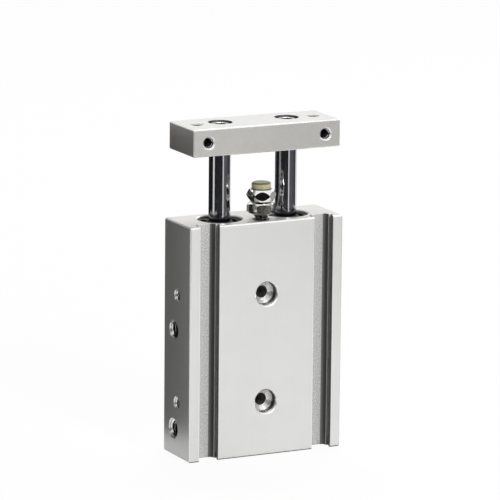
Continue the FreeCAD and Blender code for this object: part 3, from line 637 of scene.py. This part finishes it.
def spin(mesh_data, rings, count, closed=False):
    """A surface about Z through rings of (radius, height), each a number or a function of the angle."""
    rows = []
    for radius, height in rings:
        row = []
        for i in range(count):
            angle = 2 * math.pi * i / count
            r, z = value_at(radius, angle), value_at(height, angle)
            row.append(mesh_data.verts.new((r * math.cos(angle), r * math.sin(angle), z)))
        rows.append(row)
    pairs = list(zip(rows, rows[1:])) + ([(rows[-1], rows[0])] if closed else [])
    for lower, upper in pairs:
        for i in range(count):
            j = (i + 1) % count
            mesh_data.faces.new((lower[i], lower[j], upper[j], upper[i]))


def thread(mesh_data, valley, crest, pitch, low, high, end_radius, count, taper):
    """A helical surface from low to high. Both ends run out to end_radius over taper."""
    profile = [0.0, 0.0, 0.5, 1.0, 1.0, 0.5]  # from valley to crest and back, over one pitch
    steps = len(profile)
    rows = int((high - low) / pitch * steps) + 2 * steps + 2  # two turns more, for the helix's slant
    columns = []
    for i in range(count):
        column = []
        for k in range(rows):
            raw = low + pitch * (k / steps + i / count) - pitch
            z = min(high, max(low, raw))
            depth = valley + (crest - valley) * profile[k % steps]
            share = min(1.0, max(0.0, min(z - low, high - z) / taper))
            share = share * share * (3 - 2 * share)
            r = end_radius + (depth - end_radius) * share
            angle = 2 * math.pi * i / count
            column.append(mesh_data.verts.new((r * math.cos(angle), r * math.sin(angle), z)))
        columns.append(column)
    for i in range(count):
        shift = steps if i == count - 1 else 0
        following = columns[(i + 1) % count]
        for k in range(rows - 1 - shift):
            mesh_data.faces.new((columns[i][k], following[k + shift],
                                 following[k + shift + 1], columns[i][k + 1]))


def hexagon_radius(across, turn=0.0):
    """The radius of a hexagon as a function of the angle, with a flat facing turn."""
    def radius(angle):
        return across / 2 / math.cos((angle - turn + math.pi / 6) % (math.pi / 3) - math.pi / 6)
    return radius


def place_along(mesh_data, origin, axis):
    """Moves a shape made about Z to origin, with Z turned to axis."""
    turned = Vector(axis).to_track_quat("Z", "Y").to_matrix().to_4x4()
    bmesh.ops.transform(mesh_data, matrix=Matrix.Translation(origin) @ turned, verts=mesh_data.verts)


def place_upright(mesh_data, centre, turn=0.0):
    """Turns a shape made about Z, and moves it to the centre's x and y."""
    moved = Matrix.Translation((centre.x, centre.y, 0)) @ Matrix.Rotation(turn, 4, "Z")
    bmesh.ops.transform(mesh_data, matrix=moved, verts=mesh_data.verts)


# ---------------------------------------------------------------- bumper bolt, nut and bumper

HEXAGON_COUNT = 72  # points round each ring
HEXAGON_WIDTH = 7.0
HEAD_TURN = math.radians(69)  # where one of its flats faces
NUT_TURN = math.radians(77.5)


def hexagon_rings(face_radius, slope, low, high):
    """A hexagon's outside, with the cones that bevel it, from its lower face's rim to its upper face's."""
    wall = hexagon_radius(HEXAGON_WIDTH)

    def bevelled(height, sign):
        return lambda angle: height - sign * slope * max(0.0, wall(angle) - face_radius)

    return [(face_radius, low), (wall, bevelled(low, -1)), (wall, bevelled(high, 1)), (face_radius, high)]


def make_bumper_bolt():
    """The threaded bolt, whose bevelled head is hollowed out for the bumper."""
    low, high = box_of("bumper_bolt")
    bumper_low, bumper_high = box_of("stop_bumper")
    hollow = (bumper_high.x - bumper_low.x) / 2 + 0.06
    head_base = box_of("lock_nut")[1].z + 0.4
    core, valley, crest, pitch = 1.45, 1.6, 1.95, 0.7
    shape = bmesh.new()
    spin(shape, [(0.0, low.z), (core - 0.1, low.z), (core, low.z + 0.05)], HEXAGON_COUNT)
    thread(shape, valley, crest, pitch, low.z + 0.05, head_base, core, HEXAGON_COUNT, 0.6)
    spin(shape, [
        (core, head_base), *hexagon_rings(3.3, 1.9, head_base, high.z),
        (hollow + 0.16, high.z), (hollow, high.z - 0.16), (hollow, bumper_low.z), (0.0, bumper_low.z),
    ], HEXAGON_COUNT)
    place_upright(shape, (low + high) / 2, HEAD_TURN)
    as_piece(shape, "bumper_bolt_threaded", "stop_adjuster", "bright_steel", sharp=20.0,
             replaced=["bumper_bolt"])


def make_lock_nut():
    """A hexagon nut, bevelled outside and countersunk at both ends of its bore."""
    low, high = box_of("lock_nut")
    bore, countersunk, depth = 2.02, 2.35, 0.35
    shape = bmesh.new()
    spin(shape, [
        (bore, low.z + depth), (countersunk, low.z), *hexagon_rings(3.12, 0.85, low.z, high.z),
        (countersunk, high.z), (bore, high.z - depth),
    ], HEXAGON_COUNT, closed=True)
    place_upright(shape, (low + high) / 2, NUT_TURN)
    as_piece(shape, "lock_nut_bevelled", "stop_adjuster", "bright_steel", finish="nut_steel", sharp=20.0,
             replaced=["lock_nut"])


def make_stop_bumper():
    """The moulded plug: a rounded rim and a slightly dished top, a hair under the CAD's."""
    low, high = box_of("stop_bumper")
    radius = (high.x - low.x) / 2
    rounding, top, arc_steps = 0.6, high.z - 0.04, 6
    rim = []
    for k in range(arc_steps, -1, -1):
        angle = math.pi / 2 * k / arc_steps
        rim.append((radius - rounding * (1 - math.sin(angle)), top - rounding * (1 - math.cos(angle))))
    shape = bmesh.new()
    spin(shape, [
        (0.0, low.z), (radius - 0.15, low.z), (radius, low.z + 0.15), (radius, low.z + 1.7),
        (radius - 0.03, low.z + 2.3), *rim, (radius - 0.85, top - 0.02), (0.9, top - 0.1), (0.0, top - 0.11),
    ], 64)
    place_upright(shape, (low + high) / 2)
    as_piece(shape, "stop_bumper_moulded", "stop_adjuster", "amber_urethane", sharp=60.0,
             replaced=["stop_bumper"])


# ---------------------------------------------------------------- screws, plugs and threads

SOCKET_WIDTH = 2.5  # hexagon sockets of the screws and plugs
M3 = (1.5, 0.5)  # a tapped hole's radius and pitch
M5 = (2.5, 0.8)
COUNTERSINK = 0.36  # depth of the countersink at a tapped hole's mouth


def make_rod_screw(side):
    """Socket head screw with a knurled head."""
    node = "rod_screw_" + side
    low, high = box_of(node)
    shank, head, ridges = 1.45, 2.55, 36
    head_base = high.z - 3.0
    socket = hexagon_radius(SOCKET_WIDTH, math.radians(20))

    def knurled(angle):
        return 2.68 + 0.06 * abs(math.sin(angle * ridges / 2))

    shape = bmesh.new()
    spin(shape, [
        (0.0, low.z), (shank - 0.25, low.z), (shank, low.z + 0.25), (shank, head_base),
        (head, head_base), (knurled, head_base + 0.15), (knurled, high.z - 0.4),
        (2.62, high.z - 0.3), (2.5, high.z - 0.08), (2.3, high.z), (1.62, high.z),
        (socket, high.z - 0.16), (socket, high.z - 1.5), (0.0, high.z - 2.0),
    ], 4 * ridges)
    place_upright(shape, (low + high) / 2)
    as_piece(shape, "socket_screw_" + side, "rods", "bright_steel", finish="recessed_steel",
             replaced=[node])


def make_port_plug(level):
    """Socket set plug with a rounded rim, threaded over its whole length."""
    node = "port_plug_" + level
    low, high = box_of(node)
    middle = (low + high) / 2
    length = high.x - low.x
    radius = (high.z - low.z) / 2
    core, end = radius - 0.4, 0.03
    socket = hexagon_radius(SOCKET_WIDTH)
    shape = bmesh.new()
    spin(shape, [(0.0, 0.0), (core - 0.05, 0.0), (core, end)], 96)
    thread(shape, core + 0.02, radius - 0.02, M5[1], end, length - end, core, 96, 0.5)
    spin(shape, [
        (core, length - end), (core - 0.15, length), (1.7, length),
        (socket, length - 0.2), (socket, length - 2.0), (0.0, length - 2.6),
    ], 96)
    place_along(shape, Vector((low.x, middle.y, middle.z)), (1, 0, 0))
    as_piece(shape, "socket_plug_" + level, "cylinder", "bright_steel", replaced=[node])


def make_rod_wiper(side):
    """The seal's dust lip round the rod, in the recess over the bearing."""
    base = box_of("seal_retainer_" + side)[1].z
    section = [
        (3.06, -0.2), (4.5, -0.2), (4.5, 0.12), (4.3, 0.3), (3.75, 0.5),
        (3.5, 0.95), (3.3, 1.12), (3.14, 1.12), (3.04, 0.98), (3.06, 0.6),
    ]
    shape = bmesh.new()
    spin(shape, [(radius, base + height) for radius, height in section], 96, closed=True)
    place_upright(shape, middle_of("piston_rod_" + side))
    as_piece(shape, "rod_wiper_" + side, "cylinder", "black_rubber", sharp=50.0)


def make_counterbore_seat(name, mouth, axis):
    """The slightly hollow seat left by the counterbore's cutter, with its turning marks."""
    hole, wall, depth, wall_top = 1.76, 3.235, 3.28, 2.72
    marks, spacing, fall, mark_depth = 14, 0.1, 0.035, 0.03
    rings = [(hole, depth)]
    for k in range(1, marks + 1):
        rings.append((hole + spacing * k, depth - fall * k - mark_depth * (k % 2)))
    rings += [(wall, wall_top), (wall, depth)]
    shape = bmesh.new()
    spin(shape, rings, 96, closed=True)
    place_along(shape, Vector(mouth), axis)
    as_piece(shape, name, "cylinder", "housing_alloy", finish="turned_alloy", sharp=12.0)


def rows_of(holes):
    """The names and heights of the two rows of a hole pattern on the housing."""
    middle, spread = holes["pos_m"][2] / MM, holes["dims"]["spacing_y_mm"] / 2
    return ("lower", middle - spread), ("upper", middle + spread)


def make_counterbore_seats():
    low, high = box_of("housing")
    for level, height in rows_of(mount("front_through_holes")):
        make_counterbore_seat("seat_front_" + level, (0, low.y, height), (0, 1, 0))
        make_counterbore_seat("seat_back_" + level, (0, high.y, height), (0, -1, 0))


def make_tapped_thread(name, mouth, axis, size, length, body, slot, finish):
    """The thread in a tapped hole, from under its countersink inwards along axis."""
    radius, pitch = size
    outer = radius - 0.012
    ends = outer - 0.03
    shape = bmesh.new()
    thread(shape, outer - 0.02, radius - 0.54 * pitch, pitch, 0.0, length, ends, 48, 0.45)
    spin(shape, [(ends, 0.0), (outer, 0.0), (outer, length), (ends, length)], 48)
    place_along(shape, Vector(mouth) + COUNTERSINK * Vector(axis), axis)
    as_piece(shape, name, body, slot, finish=finish)


def make_housing_threads():
    low, high = box_of("housing")
    for side, sign, wall in (("left", -1, low.x), ("right", 1, high.x)):
        for level, height in rows_of(mount(side + "_side_holes")):
            make_tapped_thread("thread_" + side + "_" + level, (wall, 0, height), (-sign, 0, 0),
                               M3, 4.5, "cylinder", "housing_alloy", "oiled_thread")
    for level in ("head", "rod"):
        port = Vector(mount(level + "_port")["pos_m"]) / MM
        make_tapped_thread("thread_port_" + level, (low.x, port.y, port.z), (1, 0, 0),
                           M5, 4.1, "cylinder", "housing_alloy", "cut_thread")


def make_plate_threads():
    low, high = box_of("end_plate")
    spread = mount("plate_top_holes")["dims"]["spacing_x_mm"] / 2
    level = mount("plate_front_holes")["pos_m"][2] / MM
    through = high.z - low.z - 2 * COUNTERSINK
    for side, x in (("left", -spread), ("right", spread)):
        for face, mouth, axis, length, finish in (
            ("front", (x, low.y, level), (0, 1, 0), 4.0, "deep_thread"),
            ("back", (x, high.y, level), (0, -1, 0), 4.0, "deep_thread"),
            ("top", (x, 0, high.z), (0, 0, -1), through, "oiled_thread"),
        ):
            make_tapped_thread("thread_plate_" + face + "_" + side, mouth, axis, M3, length,
                               "rods", "plate_alloy", finish)


make_bumper_bolt()
make_lock_nut()
make_stop_bumper()
for side in ("left", "right"):
    make_rod_screw(side)
    make_rod_wiper(side)
for level in ("lower", "upper"):
    make_port_plug(level)
make_housing_threads()
make_plate_threads()
make_counterbore_seats()

bpy.context.scene.view_settings.view_transform = "Standard"
